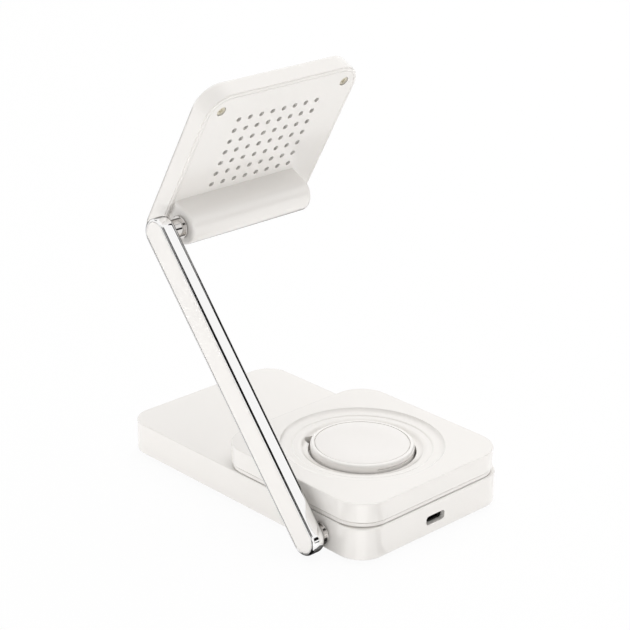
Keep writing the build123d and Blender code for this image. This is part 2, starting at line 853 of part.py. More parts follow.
with BuildPart() as upper_nut:
    with BuildSketch(Plane.YZ.offset(upper_nut_end)):
        with Locations((head_y, head_z)):
            RegularPolygon(nut_radius, nut_sides)
            Circle(shaft_radius + shaft_fit, mode=Mode.SUBTRACT)
    extrude(amount=-nut_thickness)
save(upper_nut, "upper_nut")

# Head front: a square tray with round corners, open at the back, with posts for the screws
with BuildPart() as head_front:
    with BuildSketch(head_plane.offset(lip_level)):
        with Locations((0, head_mid)):
            RectangleRounded(head_size, head_size, head_corner)
    extrude(amount=head_front_level - lip_level)
    fillet(head_front.faces().sort_by(front_axis)[-1].edges(), head_front_round)
    fillet(head_front.faces().sort_by(front_axis)[0].edges(), head_back_round)
    with BuildSketch(head_plane.offset(lip_level)):
        with Locations((0, head_mid)):
            RectangleRounded(head_size - 2 * head_wall, head_size - 2 * head_wall, head_corner - head_wall)
    extrude(amount=head_inside - lip_level, mode=Mode.SUBTRACT)
    with BuildSketch(head_plane.offset(back_inside)):
        with Locations(*head_screw_places):
            Circle(head_post_radius)
            Circle(head_screw_radius + screw_gap, mode=Mode.SUBTRACT)
    extrude(amount=head_inside - back_inside)
    with BuildSketch(head_plane.offset(head_front_level + pad_proud - pad_thickness)):
        with Locations((0, head_mid)):
            Circle(pad_radius + pad_gap)
    extrude(amount=pad_thickness, mode=Mode.SUBTRACT)
save(head_front, "head_front")

# Round soft pad on the phone side, with one fine ring groove
with BuildPart() as head_pad:
    with BuildSketch(head_plane.offset(head_front_level + pad_proud)):
        with Locations((0, head_mid)):
            Circle(pad_radius)
    extrude(amount=-pad_thickness)
    with BuildSketch(head_plane.offset(head_front_level + pad_proud)):
        with Locations((0, head_mid)):
            Circle(pad_groove_radius + pad_groove_width / 2)
            Circle(pad_groove_radius - pad_groove_width / 2, mode=Mode.SUBTRACT)
    extrude(amount=-pad_groove_depth, mode=Mode.SUBTRACT)
save(head_pad, "head_pad")

# Hinge barrel, with the web that runs up from it into the head's back
web_level = (head_offset + back_inside) / 2
web_reach = hypot(barrel_web_rise, web_level)
web_tangent = atan2(web_level, barrel_web_rise) - acos(barrel_radius / web_reach)
with BuildPart() as hinge_barrel:
    with BuildSketch(barrel_plane):
        Circle(barrel_radius)
        with BuildLine():
            Polyline(
                (barrel_web_rise, web_level),
                (barrel_radius * cos(web_tangent), barrel_radius * sin(web_tangent)),
                (0, 0),
                (-barrel_radius, 0),
                (-barrel_radius, web_level),
                close=True,
            )
        make_face()
    extrude(amount=barrel_length)
    barrel_ends = hinge_barrel.faces().filter_by(Axis.X)
    fillet(barrel_ends.edges(), barrel_end_round)

# Head back: a lipped cover that sits on the front's walls, with its vents and the barrel in one moulding
vent_mid = head_top - vent_drop
lip_side = head_size - 2 * lip_inset
lip_corner = head_corner - lip_inset
line_side = lip_side - 2 * lip_line_inset
line_corner = lip_corner - lip_line_inset
plug_side = head_size - 2 * (head_wall + back_gap)
plug_corner = head_corner - head_wall - back_gap
with BuildPart() as head_back:
    with BuildSketch(head_plane.offset(head_offset)):
        with Locations((0, head_mid)):
            RectangleRounded(lip_side, lip_side, lip_corner)
    extrude(amount=lip_thickness)
    fillet(head_back.faces().sort_by(front_axis)[0].edges(), lip_round)
    with BuildSketch(head_plane.offset(lip_level)):
        with Locations((0, head_mid)):
            RectangleRounded(plug_side, plug_side, plug_corner)
    extrude(amount=back_inside - lip_level)
    with BuildSketch(head_plane.offset(head_offset)):
        with Locations((0, head_mid)):
            RectangleRounded(line_side, line_side, line_corner)
            RectangleRounded(
                line_side - 2 * lip_line_width,
                line_side - 2 * lip_line_width,
                line_corner - lip_line_width,
                mode=Mode.SUBTRACT,
            )
    extrude(amount=lip_line_depth, mode=Mode.SUBTRACT)
    with BuildSketch(head_plane.offset(head_offset)):
        with Locations((0, vent_mid)):
            with GridLocations(vent_pitch_x, vent_pitch_v, vent_columns, vent_rows):
                Circle(vent_radius)
    extrude(amount=back_thickness, mode=Mode.SUBTRACT)
    with BuildSketch(head_plane.offset(head_offset)):
        with Locations(*head_screw_places):
            Circle(head_screw_head_radius + head_screw_gap)
    extrude(amount=head_screw_recess, mode=Mode.SUBTRACT)
    with BuildSketch(head_plane.offset(head_offset)):
        with Locations(*head_screw_places):
            Circle(head_screw_radius + screw_gap)
    extrude(amount=back_thickness, mode=Mode.SUBTRACT)
    add(hinge_barrel.part)
    with BuildSketch(Plane.YZ.offset(bore_left)):
        with Locations((head_y, head_z)):
            Circle(barrel_bore)
    extrude(amount=-barrel_bore_length, mode=Mode.SUBTRACT)
    with BuildSketch(Plane.YZ.offset(bore_left)):
        with Locations((head_y, head_z)):
            Circle(shaft_radius + barrel_hole_gap)
    extrude(amount=barrel_end_wall, mode=Mode.SUBTRACT)
save(head_back, "head_back")

# Screws of the head's back cover, sunk in their recesses
head_screw_seat = head_offset + head_screw_recess
with BuildPart() as head_screws:
    with BuildSketch(head_plane.offset(head_screw_seat)):
        with Locations(*head_screw_places):
            Circle(head_screw_head_radius)
    extrude(amount=-head_screw_head_height)
    with BuildSketch(head_plane.offset(head_screw_seat)):
        with Locations(*head_screw_places):
            Circle(head_screw_radius)
    extrude(amount=head_screw_length)
save(head_screws, "head_screws")

# Coil, ferrite sheet and ring of magnets, against the inside of the front wall
with BuildPart() as head_coil:
    with BuildSketch(head_plane.offset(head_inside)):
        with Locations((0, head_mid)):
            Circle(head_coil_radius)
            Circle(head_coil_hole, mode=Mode.SUBTRACT)
    extrude(amount=-head_coil_thickness)
save(head_coil, "head_coil")

with BuildPart() as head_ferrite:
    with BuildSketch(head_plane.offset(head_inside - head_coil_thickness)):
        with Locations((0, head_mid)):
            Circle(head_ferrite_radius)
    extrude(amount=-head_ferrite_thickness)
save(head_ferrite, "head_ferrite")

with BuildPart() as head_magnets:
    with BuildSketch(head_plane.offset(head_inside)):
        with Locations((0, head_mid)):
            with PolarLocations(magnet_ring_radius, magnet_count):
                Rectangle(magnet_width, magnet_length)
    extrude(amount=-magnet_thickness)
save(head_magnets, "head_magnets")
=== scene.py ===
# %% [markdown]
# # A folding desk charger, dressed for its portrait
# The imported model is a fixed frame: every node already has its place and its size, in metres.
# The box around the bare frame is kept at the start, so that the dressed part can be compared with it.

# %% Load the frame
import json
from math import cos, radians, sin, tan

import bmesh
import bpy
from mathutils import Matrix, Vector


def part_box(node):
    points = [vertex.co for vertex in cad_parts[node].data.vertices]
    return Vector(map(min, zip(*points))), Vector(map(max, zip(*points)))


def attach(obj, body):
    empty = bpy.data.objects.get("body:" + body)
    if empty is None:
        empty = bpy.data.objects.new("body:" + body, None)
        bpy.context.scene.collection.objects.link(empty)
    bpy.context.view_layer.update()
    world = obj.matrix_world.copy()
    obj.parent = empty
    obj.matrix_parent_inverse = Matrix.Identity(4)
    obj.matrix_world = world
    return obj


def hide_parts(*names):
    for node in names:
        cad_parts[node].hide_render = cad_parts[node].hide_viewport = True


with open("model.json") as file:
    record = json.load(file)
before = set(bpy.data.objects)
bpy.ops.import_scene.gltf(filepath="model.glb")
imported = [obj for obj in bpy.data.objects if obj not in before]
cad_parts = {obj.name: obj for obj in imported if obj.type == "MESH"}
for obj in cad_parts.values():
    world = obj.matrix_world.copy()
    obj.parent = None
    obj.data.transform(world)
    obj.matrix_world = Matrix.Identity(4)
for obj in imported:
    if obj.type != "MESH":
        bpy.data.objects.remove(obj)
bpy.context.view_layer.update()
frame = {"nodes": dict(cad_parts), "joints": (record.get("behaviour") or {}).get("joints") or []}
nodes = frame["nodes"]
joints = {joint["name"]: joint for joint in frame["joints"]}
scene = bpy.context.scene
mm = 0.001
print("nodes in the frame:", len(nodes))

# %% [markdown]
# ## The camera
# The picture looks at the charger from behind, from its arm side and a little from above.
# A camera is three directions and a place: back points from the object to the lens, right and up
# lie in the picture. They are worked out from an azimuth, an elevation and a slight roll.
# The focal length is known in pixels of the square picture, and the sensor's width turns it into
# millimetres.

# %% Camera
picture_pixels = 630
sensor_width = 36.0
focal_pixels = 1945.7
view_azimuth = radians(135.78)
view_elevation = radians(22.40)
view_roll = radians(0.928)
view_distance = 779.06 * mm
view_target = Vector((-13.25, -12.92, 61.96)) * mm

view_back = Vector((
    sin(view_azimuth) * cos(view_elevation),
    -cos(view_azimuth) * cos(view_elevation),
    sin(view_elevation),
))
level_right = Vector((0, 0, 1)).cross(view_back).normalized()
level_up = view_back.cross(level_right)
view_right = cos(view_roll) * level_right + sin(view_roll) * level_up
view_up = cos(view_roll) * level_up - sin(view_roll) * level_right
view_place = view_target + view_back * view_distance

camera_data = bpy.data.cameras.new("camera")
camera_data.sensor_width = sensor_width
camera_data.lens = sensor_width * focal_pixels / picture_pixels
camera_data.clip_start = 0.01
camera = bpy.data.objects.new("camera", camera_data)
scene.collection.objects.link(camera)
camera.matrix_world = Matrix((view_right, view_up, view_back)).transposed().to_4x4()
camera.matrix_world.translation = view_place
scene.camera = camera
scene.view_settings.view_transform = "Standard"
print("lens in mm:", round(camera_data.lens, 2))

# %% [markdown]
# ## Finishes
# Each finish is a small node tree on a Principled shader. Patterns are read from Object coordinates, which
# are metres on every piece, so a noise scale of 1000 has features of about a millimetre.
# What is the same all over a surface is written straight on the shader's own socket.


# %% Helpers for finishes
def finish(name, roughness, metallic=0.0, specular=0.5):
    """A new material with its Principled shader and its Object coordinates."""
    material = bpy.data.materials.new(name)
    material.use_nodes = True
    tree = material.node_tree
    shader = tree.nodes["Principled BSDF"]
    shader.inputs["Roughness"].default_value = roughness
    shader.inputs["Metallic"].default_value = metallic
    shader.inputs["Specular IOR Level"].default_value = specular
    place = tree.nodes.new("ShaderNodeTexCoord")
    return material, tree, shader, place.outputs["Object"]


def noise(tree, place, scale, detail=2.0, roughness=0.5, stretch=None):
    """A noise of the given scale, stretched along an axis if asked."""
    texture = tree.nodes.new("ShaderNodeTexNoise")
    texture.inputs["Scale"].default_value = scale
    texture.inputs["Detail"].default_value = detail
    texture.inputs["Roughness"].default_value = roughness
    if stretch is not None:
        mapping = tree.nodes.new("ShaderNodeMapping")
        mapping.inputs["Scale"].default_value = stretch
        tree.links.new(place, mapping.inputs["Vector"])
        place = mapping.outputs["Vector"]
    tree.links.new(place, texture.inputs["Vector"])
    return texture.outputs["Fac"]


def two_tones(tree, factor, first, second, socket):
    """Colour that drifts between two close tones."""
    ramp = tree.nodes.new("ShaderNodeValToRGB")
    ramp.color_ramp.elements[0].position = 0.3
    ramp.color_ramp.elements[1].position = 0.7
    ramp.color_ramp.elements[0].color = (*first, 1)
    ramp.color_ramp.elements[1].color = (*second, 1)
    tree.links.new(factor, ramp.inputs["Fac"])
    tree.links.new(ramp.outputs["Color"], socket)


def between(tree, factor, low, high, socket):
    """A number that drifts between two limits."""
    span = tree.nodes.new("ShaderNodeMapRange")
    span.inputs["To Min"].default_value = low
    span.inputs["To Max"].default_value = high
    tree.links.new(factor, span.inputs["Value"])
    tree.links.new(span.outputs["Result"], socket)


def grain(tree, factor, shader, depth, strength):
    """A fine relief from a noise, as deep as the given length."""
    bump = tree.nodes.new("ShaderNodeBump")
    bump.inputs["Distance"].default_value = depth
    bump.inputs["Strength"].default_value = strength
    tree.links.new(factor, bump.inputs["Height"])
    tree.links.new(bump.outputs["Normal"], shader.inputs["Normal"])


def moulded(name, first, second, roughness, grain_scale=2600.0, grain_strength=0.05, coat=1.0):
    """Moulded plastic: a slow drift of tone, a fine grain and a little play in its gloss."""
    material, tree, shader, place = finish(name, roughness)
    two_tones(tree, noise(tree, place, 18.0), first, second, shader.inputs["Base Color"])
    fine = noise(tree, place, grain_scale)
    between(tree, fine, roughness - 0.03, roughness + 0.03, shader.inputs["Roughness"])
    grain(tree, fine, shader, 0.02 * mm, grain_strength)
    shader.inputs["Coat Weight"].default_value = coat
    shader.inputs["Coat Roughness"].default_value = 0.10
    return material


def metal(name, first, second, roughness, scale=900.0, stretch=None, strength=0.02):
    """Metal: two close tones, a fine drawn or turned relief and a drift in gloss."""
    material, tree, shader, place = finish(name, roughness, metallic=1.0)
    lines = noise(tree, place, scale, stretch=stretch)
    two_tones(tree, lines, first, second, shader.inputs["Base Color"])
    between(tree, lines, roughness * 0.8, roughness * 1.2, shader.inputs["Roughness"])
    grain(tree, lines, shader, 0.01 * mm, strength)
    return material


def polished(name, face, painted_outline_shade, roughness):
    """Mirror-bright plating whose colour is painted darker towards its outline, a painted shade standing in
    for dark reflections at grazing angles; faint wipe marks play in its gloss.
    """
    material, tree, shader, place = finish(name, roughness, metallic=1.0)
    # The Facing value paints colour and specular tint from the face tone down to a dark tone at the outline:
    # painted shade, not a property of the plating.
    outline = tree.nodes.new("ShaderNodeLayerWeight")
    outline.inputs["Blend"].default_value = 0.5
    ramp = tree.nodes.new("ShaderNodeValToRGB")
    ramp.color_ramp.elements[0].position = 0.55
    ramp.color_ramp.elements[1].position = 0.86
    ramp.color_ramp.elements[0].color = (*face, 1)
    ramp.color_ramp.elements[1].color = (*painted_outline_shade, 1)
    tree.links.new(outline.outputs["Facing"], ramp.inputs["Fac"])
    tree.links.new(ramp.outputs["Color"], shader.inputs["Base Color"])
    tree.links.new(ramp.outputs["Color"], shader.inputs["Specular Tint"])
    wipes = noise(tree, place, 260.0, detail=4.0, stretch=(1.0, 3.0, 0.4))
    between(tree, wipes, roughness * 0.5, roughness * 1.5, shader.inputs["Roughness"])
    return material


# %% Finishes of this charger
shell_white = moulded("shell_white", (0.885, 0.862, 0.832), (0.895, 0.872, 0.842), 0.34)
plate_white = moulded("plate_white", (0.89, 0.868, 0.842), (0.90, 0.878, 0.852), 0.30)
band_white = moulded("band_white", (0.85, 0.827, 0.797), (0.86, 0.837, 0.807), 0.34)
# The puck's shell gets a lighter copy of the white plastic: a painted highlight that makes its rounded rim
# read brighter.
rim_white_painted_highlight = moulded("rim_white_painted_highlight", (0.95, 0.93, 0.905), (0.955, 0.935, 0.91), 0.34)
puck_white = moulded("puck_white", (0.885, 0.862, 0.838), (0.895, 0.872, 0.848), 0.40)
pad_white = moulded("pad_white", (0.80, 0.78, 0.755), (0.82, 0.80, 0.775), 0.62, 3400.0, 0.12)
under_white = moulded("under_white", (0.70, 0.68, 0.65), (0.73, 0.71, 0.68), 0.48, 2200.0, 0.12)
foot_rubber = moulded("foot_rubber", (0.42, 0.41, 0.40), (0.46, 0.45, 0.44), 0.72, 3800.0, 0.2)
bush_black = moulded("bush_black", (0.02, 0.02, 0.02), (0.03, 0.03, 0.03), 0.4)
board_green = moulded("board_green", (0.02, 0.16, 0.06), (0.03, 0.21, 0.08), 0.35, 700.0, 0.1)
ferrite = moulded("ferrite", (0.05, 0.05, 0.055), (0.08, 0.08, 0.085), 0.6, 1500.0, 0.15)
lead_film = moulded("lead_film", (0.30, 0.13, 0.03), (0.36, 0.17, 0.05), 0.3)
# The second, near-black tone of each plating is painted shade at its outline, drawn in by the polished
# finish.
bright_metal = polished("bright_metal", (0.93, 0.925, 0.92), (0.06, 0.055, 0.05), 0.05)
collar_metal = polished("collar_metal", (0.70, 0.68, 0.66), (0.04, 0.036, 0.034), 0.10)
steel = metal("steel", (0.50, 0.49, 0.48), (0.58, 0.57, 0.56), 0.3)
screw_nickel = metal("screw_nickel", (0.66, 0.61, 0.49), (0.74, 0.70, 0.58), 0.30)
magnet_nickel = metal("magnet_nickel", (0.62, 0.60, 0.57), (0.70, 0.68, 0.65), 0.2)
copper = metal("copper", (0.62, 0.27, 0.13), (0.75, 0.36, 0.18), 0.3)
contact_gold = metal("contact_gold", (0.80, 0.58, 0.22), (0.90, 0.68, 0.30), 0.22)
# The inlet's metal shell is painted near-black: painted shade standing in for the dark inside of the port.
inlet_painted_shade_metal = metal("inlet_painted_shade_metal", (0.045, 0.045, 0.045), (0.07, 0.069, 0.068), 0.42)

finish_of = {
    shell_white: ["base_shell", "block_cover", "head_front", "head_back", "puck_cup"],
    rim_white_painted_highlight: ["puck_shell"],
    plate_white: ["arm_plate"],
    band_white: ["waist_band"],
    puck_white: ["puck_disc"],
    pad_white: ["head_pad"],
    under_white: ["base_bottom"],
    foot_rubber: ["foot_front_right", "foot_front_left", "foot_rear_right", "foot_rear_left"],
    bush_black: ["lower_bush", "upper_bush", "inlet_tongue"],
    board_green: ["main_board"],
    ferrite: ["earbud_ferrite", "head_ferrite"],
    lead_film: ["arm_ribbon"],
    bright_metal: ["arm_frame"],
    collar_metal: ["lower_collar", "upper_collar"],
    steel: [
        "base_screws", "block_screws", "puck_pin", "lower_shaft", "lower_washers", "lower_nut",
        "upper_shaft", "upper_washers", "upper_nut",
    ],
    inlet_painted_shade_metal: ["inlet_shell"],
    screw_nickel: ["head_screws"],
    magnet_nickel: ["head_magnets", "puck_magnet"],
    copper: ["earbud_coil", "head_coil", "puck_coil"],
}
for material, names in finish_of.items():
    for name in names:
        nodes[name].data.materials.clear()
        nodes[name].data.materials.append(material)
print("finishes:", len(finish_of))

# %% [markdown]
# ## Fine pieces
# Some nodes of the frame get a finer stand-in. Each one is built in place, in metres, takes its levels from
# the box of the node that it replaces, and rides on the same body. Corners that light should catch are
# rounded, and faces that meet at less than 30 degrees are shaded as one surface.
# The arm and the waist are the same section all the way round. It could be lofted ring by ring, but a section
# that is spun at each corner and extruded along each straight run keeps its edges exact.


# %% Helpers for pieces
def piece(name, shape, material, body, slot_name, *replaced):
    """Turns a finished shape into an object of the scene that rides on a body."""
    bmesh.ops.recalc_face_normals(shape, faces=shape.faces)
    mesh = bpy.data.meshes.new(name)
    shape.to_mesh(mesh)
    shape.free()
    mesh.shade_smooth()
    mesh.set_sharp_from_angle(angle=radians(30))
    mesh.materials.append(material)
    made = bpy.data.objects.new(name, mesh)
    scene.collection.objects.link(made)
    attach(made, body)
    if replaced:
        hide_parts(*replaced)
    print(name, "faces:", len(mesh.polygons))
    return made


merge_distance = 0.001 * mm


def quarter(radius, steps=8):
    """Points of a quarter round: how far it is from the first side and from the second one."""
    turns = [radians(90) * step / steps for step in range(steps + 1)]
    return [(radius - radius * sin(turn), radius - radius * cos(turn)) for turn in turns]


def swept(shape, section, centres, axis, turn, steps):
    """Carries a section round a loop: a spin about each centre, and a straight run on to the next one."""
    points = [shape.verts.new(point) for point in section]
    edges = [shape.edges.new(pair) for pair in zip(points, points[1:])]
    for here, after in zip(centres, centres[1:] + centres[:1]):
        spun = bmesh.ops.spin(
            shape, geom=points + edges, cent=here, axis=axis, angle=turn, steps=steps
        )["geom_last"]
        ends = [item for item in spun if isinstance(item, bmesh.types.BMEdge)]
        run = bmesh.ops.extrude_edge_only(shape, edges=ends)["geom"]
        points = [item for item in run if isinstance(item, bmesh.types.BMVert)]
        edges = [
            item for item in run if isinstance(item, bmesh.types.BMEdge) and set(item.verts) <= set(points)
        ]
        bmesh.ops.translate(shape, verts=points, vec=after - here)
    bmesh.ops.remove_doubles(shape, verts=shape.verts, dist=merge_distance)


def close_ends(shape):
    """Closes the loops that a swept section leaves open."""
    bmesh.ops.holes_fill(shape, edges=[item for item in shape.edges if item.is_boundary], sides=0)


# %% [markdown]
# ## The arm
# The bar's outline is a slot around its two hinge axes. A list of insets and levels describes its section,
# from the floor of the lead channel, over the rim, around the two rounded edges and to the back.
# The rim's round carries the black line beside the inlay, and the larger round at the back carries the
# second one. Both lines are the cards mirrored in these rounds together with shade painted into the metal
# towards its outline.

# %% Arm bar and its inlay
arm_low = Vector(joints["arm_fold"]["pos_m"])
arm_high = Vector(joints["head_tilt"]["pos_m"])
arm_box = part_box("arm_frame")
arm_back = arm_box[0][0]
arm_face = arm_box[1][0]
arm_half = 6.0 * mm
arm_rim = 1.1 * mm
arm_edge = 0.85 * mm
arm_back_edge = 2.3 * mm
inlay_thickness = 1.2 * mm
inlay_gap = 0.08 * mm
inlay_edge = 0.2 * mm
channel_half = 3.4 * mm
channel_depth = 3.2 * mm
rim_edge = 0.08 * mm
end_steps = 28

arm_axis = Vector((0, arm_high.y - arm_low.y, arm_high.z - arm_low.z)).normalized()
arm_across = Vector((0, -arm_axis.z, arm_axis.y))


def slot_shape(section):
    """The arm's slot from a section of insets from its outline and levels along X."""
    made = bmesh.new()
    points = []
    for inset, level in section:
        place = arm_low + (arm_half - inset) * arm_across
        points.append((level, place.y, place.z))
    swept(made, points, [arm_low, arm_high], (1, 0, 0), radians(180), end_steps)
    close_ends(made)
    return made


inlay_seat = arm_face - inlay_thickness
bar_section = [
    (arm_half - channel_half, inlay_seat - channel_depth),
    (arm_half - channel_half, inlay_seat),
    (arm_rim, inlay_seat),
    (arm_rim, arm_face - rim_edge),
    (arm_rim - rim_edge, arm_face),
]
bar_section += [(away, arm_face - drop) for away, drop in quarter(arm_edge)]
bar_section += [(away, arm_back + drop) for away, drop in reversed(quarter(arm_back_edge, 12))]
piece("arm_bar", slot_shape(bar_section), bright_metal, "arm", "bright_metal", "arm_frame")

inlay_side = arm_rim + inlay_gap
inlay_section = [(inlay_side, inlay_seat)]
inlay_section += [(inlay_side + away, arm_face - drop) for away, drop in reversed(quarter(inlay_edge, 4))]
piece("arm_inlay", slot_shape(inlay_section), plate_white, "arm", "shell_white", "arm_plate")

# %% [markdown]
# ## The waist ring
# The ring between the slab and the block stands almost flush with their walls. It is cut back along its two
# edges, so that a fine dark line runs under it and over it.

# %% Waist ring
waist_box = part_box("waist_band")
block_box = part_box("block_cover")
waist_middle = (Vector(waist_box[0]) + Vector(waist_box[1])) / 2
block_reach = (Vector(block_box[1]) - Vector(block_box[0])) / 2
block_corner = 13.0 * mm
corner_steps = 16
waist_face = 0.45 * mm
waist_line = 0.32 * mm
waist_recess = 1.3 * mm
waist_wall = 2.9 * mm
waist_round = 0.12 * mm
slab_top = 14.5 * mm
waist_low = slab_top + waist_line
waist_high = waist_box[1][2] - waist_line
waist_floor = waist_box[0][2]
waist_roof = waist_box[1][2]
waist_section = [(waist_wall, waist_floor), (waist_recess, waist_floor), (waist_recess, waist_low)]
waist_rounds = quarter(waist_round, 3)
waist_section += [(waist_face + away, waist_low + drop) for away, drop in waist_rounds]
waist_section += [(waist_face + away, waist_high - drop) for away, drop in reversed(waist_rounds)]
waist_section += [(waist_recess, waist_high), (waist_recess, waist_roof), (waist_wall, waist_roof)]
waist_section.append(waist_section[0])

corner_reach = block_reach - Vector((block_corner, block_corner, 0))
corner_centres = [
    Vector((waist_middle.x + side * corner_reach.x, waist_middle.y + along * corner_reach.y, 0))
    for side, along in ((1, 1), (-1, 1), (-1, -1), (1, -1))
]
first_corner = corner_centres[0]
waist_points = [
    (first_corner.x + block_corner - inset, first_corner.y, level) for inset, level in waist_section
]
shape = bmesh.new()
swept(shape, waist_points, corner_centres, (0, 0, 1), radians(90), corner_steps)
piece("waist_ring", shape, band_white, "base", "band_grey", "waist_band")

# %% [markdown]
# ## The puck's face
# A turned disc, hollowed in the middle, with a soft edge and a fine gap to the rim around it.

# %% Puck face
puck_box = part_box("puck_disc")
puck_middle = (Vector(puck_box[0]) + Vector(puck_box[1])) / 2
face_top = puck_box[1][2]
face_seat = puck_box[0][2]
face_gap = 0.15 * mm
face_radius = (puck_box[1][0] - puck_box[0][0]) / 2 - face_gap
face_edge = 0.3 * mm
hollow_radius = 11.0 * mm
hollow_depth = 0.35 * mm
hollow_rings = 10
turn_steps = 96

face_section = [(0, face_seat), (face_radius, face_seat)]
face_section += [(face_radius - away, face_top - drop) for away, drop in reversed(quarter(face_edge, 5))]
for step in range(hollow_rings, -1, -1):
    share = step / hollow_rings
    face_section.append((hollow_radius * share, face_top - hollow_depth * (1 - share * share)))


def turned(shape, section, middle):
    """Spins a section of radii and heights about an upright axis through a point."""
    points = [shape.verts.new((middle.x + radius, middle.y, height)) for radius, height in section]
    edges = [shape.edges.new(pair) for pair in zip(points, points[1:])]
    bmesh.ops.spin(
        shape,
        geom=points + edges,
        cent=middle,
        axis=(0, 0, 1),
        angle=radians(360),
        steps=turn_steps,
        use_merge=True,
    )
    bmesh.ops.remove_doubles(shape, verts=shape.verts, dist=merge_distance)


shape = bmesh.new()
turned(shape, face_section, puck_middle)
piece("puck_face", shape, puck_white, "puck", "pad_soft", "puck_disc")

# %% [markdown]
# ## Screws
# Each head has a soft edge and a tapered cross in its face. The cross could be cut with a boolean, but a
# boolean on so small a face leaves slivers. Here the ring of the head and the outline of the cross are two
# nested loops: the outline is extruded down to a floor, and a triangle fill closes the face between them.


# %% Screws
screw_edge = 0.18 * mm
cross_reach = 0.58
cross_half_width = 0.16
cross_taper = 0.6
cross_depth = 0.6


def screw_shape(shape, head_radius, head_height, stem_radius, stem_length):
    """A screw whose face lies at height zero and looks up."""
    section = [(head_radius - away, -drop) for away, drop in quarter(screw_edge, 4)]
    section += [(head_radius, -head_height), (stem_radius, -head_height)]
    section += [(stem_radius, -head_height - stem_length), (0, -head_height - stem_length)]
    turned(shape, section, Vector((0, 0, 0)))
    rim = [item for item in shape.edges if item.is_boundary]
    long = cross_reach * head_radius
    wide = cross_half_width * head_radius
    corners = [(long, wide), (wide, wide), (wide, long)]
    outline = []
    for quarter_turn in range(4):
        spin = Matrix.Rotation(radians(90 * quarter_turn), 2)
        outline += [spin @ Vector(corner) for corner in corners]
    top = [shape.verts.new((point.x, point.y, 0)) for point in outline]
    cross = [shape.edges.new(pair) for pair in zip(top, top[1:] + top[:1])]
    walls = bmesh.ops.extrude_edge_only(shape, edges=cross)["geom"]
    low = [item for item in walls if isinstance(item, bmesh.types.BMVert)]
    bmesh.ops.scale(shape, verts=low, vec=(cross_taper, cross_taper, 1))
    bmesh.ops.translate(shape, verts=low, vec=(0, 0, -cross_depth * head_height))
    rest = [
        item for item in walls if isinstance(item, bmesh.types.BMEdge) and set(item.verts) <= set(low)
    ]
    bmesh.ops.contextual_create(shape, geom=rest)
    bmesh.ops.triangle_fill(shape, use_beauty=True, edges=rim + cross)


def screws(name, places, outward, sizes, material, body, node):
    """A group of screws at given places, with their faces looking along a direction."""
    whole = bmesh.new()
    turn = Vector((0, 0, 1)).rotation_difference(outward).to_matrix().to_4x4()
    for place in places:
        one = bmesh.new()
        screw_shape(one, *sizes)
        bmesh.ops.transform(one, matrix=Matrix.Translation(place) @ turn, verts=one.verts)
        part = bpy.data.meshes.new("screw")
        one.to_mesh(part)
        one.free()
        whole.from_mesh(part)
        bpy.data.meshes.remove(part)
    return piece(name, whole, material, body, "steel", node)


lean = radians(61.7)
head_up = Vector((0, cos(lean), sin(lean)))
head_out = Vector((0, -sin(lean), cos(lean)))
screw_spread = 31.75 * mm
screw_middle = 19.65 * mm
screw_level = 7.6 * mm
head_places = [
    arm_high + Vector((side * screw_spread - arm_high.x, 0, 0))
    + (screw_middle + rise * screw_spread) * head_up + screw_level * head_out
    for side in (-1, 1)
    for rise in (-1, 1)
]
head_screw_sizes = (1.9 * mm, 0.6 * mm, 1.0 * mm, 4.2 * mm)
screws("head_cross_screws", head_places, -head_out, head_screw_sizes, screw_nickel, "head", "head_screws")
base_screw_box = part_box("base_screws")
base_screw_sizes = (2.0 * mm, 0.9 * mm, 1.1 * mm, 6.0 * mm)
base_screw_x = base_screw_box[1][0] - base_screw_sizes[0]
base_screw_y = base_screw_box[1][1] - base_screw_sizes[0]
base_places = [
    Vector((side * base_screw_x, along * base_screw_y, base_screw_box[0][2]))
    for side in (-1, 1)
    for along in (-1, 1)
]
screws("base_cross_screws", base_places, Vector((0, 0, -1)), base_screw_sizes, steel, "base", "base_screws")

# %% [markdown]
# ## Contacts in the inlet
# Twelve gilt strips lie on each face of the tongue, half a millimetre apart.

# %% Contacts
tongue_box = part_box("inlet_tongue")
contact_count = 12
contact_pitch = 0.5 * mm
contact_width = 0.26 * mm
contact_length = 3.4 * mm
contact_thickness = 0.05 * mm
contact_setback = 0.5 * mm
contact_edge = 0.01 * mm

shape = bmesh.new()
contact_y = tongue_box[1][1] - contact_setback - contact_length / 2
for level in (tongue_box[0][2], tongue_box[1][2]):
    for index in range(contact_count):
        contact_x = (index - (contact_count - 1) / 2) * contact_pitch
        strip = bmesh.ops.create_cube(shape, size=1.0)["verts"]
        bmesh.ops.scale(shape, verts=strip, vec=(contact_width, contact_length, contact_thickness))
        bmesh.ops.translate(shape, verts=strip, vec=(contact_x, contact_y, level))
bmesh.ops.bevel(
    shape, geom=shape.edges[:], offset=contact_edge, affect="EDGES", segments=2, profile=0.5, material=-1
)
piece("inlet_contacts", shape, contact_gold, "base", "steel")

# %% [markdown]
# ## Floor and world
# The picture has a plain white ground. The world and the floor are white to the camera and to mirror-like
# surfaces, while the light that they give to the object is set apart, so that white plastic keeps its
# tones. The dome is brighter over the far side than over the camera's side, which is what shows the steps of
# the dish. The floor mixes in a share of its own shading, and so it keeps the object's shadow.


# %% Floor and world
def seen_or_mirrored(tree):
    """One for camera, glossy and transmitted rays, and zero for the rest."""
    path = tree.nodes.new("ShaderNodeLightPath")
    first = tree.nodes.new("ShaderNodeMath")
    first.operation = "MAXIMUM"
    tree.links.new(path.outputs["Is Camera Ray"], first.inputs[0])
    tree.links.new(path.outputs["Is Glossy Ray"], first.inputs[1])
    second = tree.nodes.new("ShaderNodeMath")
    second.operation = "MAXIMUM"
    tree.links.new(first.outputs["Value"], second.inputs[0])
    tree.links.new(path.outputs["Is Transmission Ray"], second.inputs[1])
    return second.outputs["Value"]


dome_tint = (1.0, 0.99, 0.98, 1)
dome_peak = Vector((-0.45, -0.55, 0.70)).normalized()
dome_low = 0.49
dome_high = 0.78

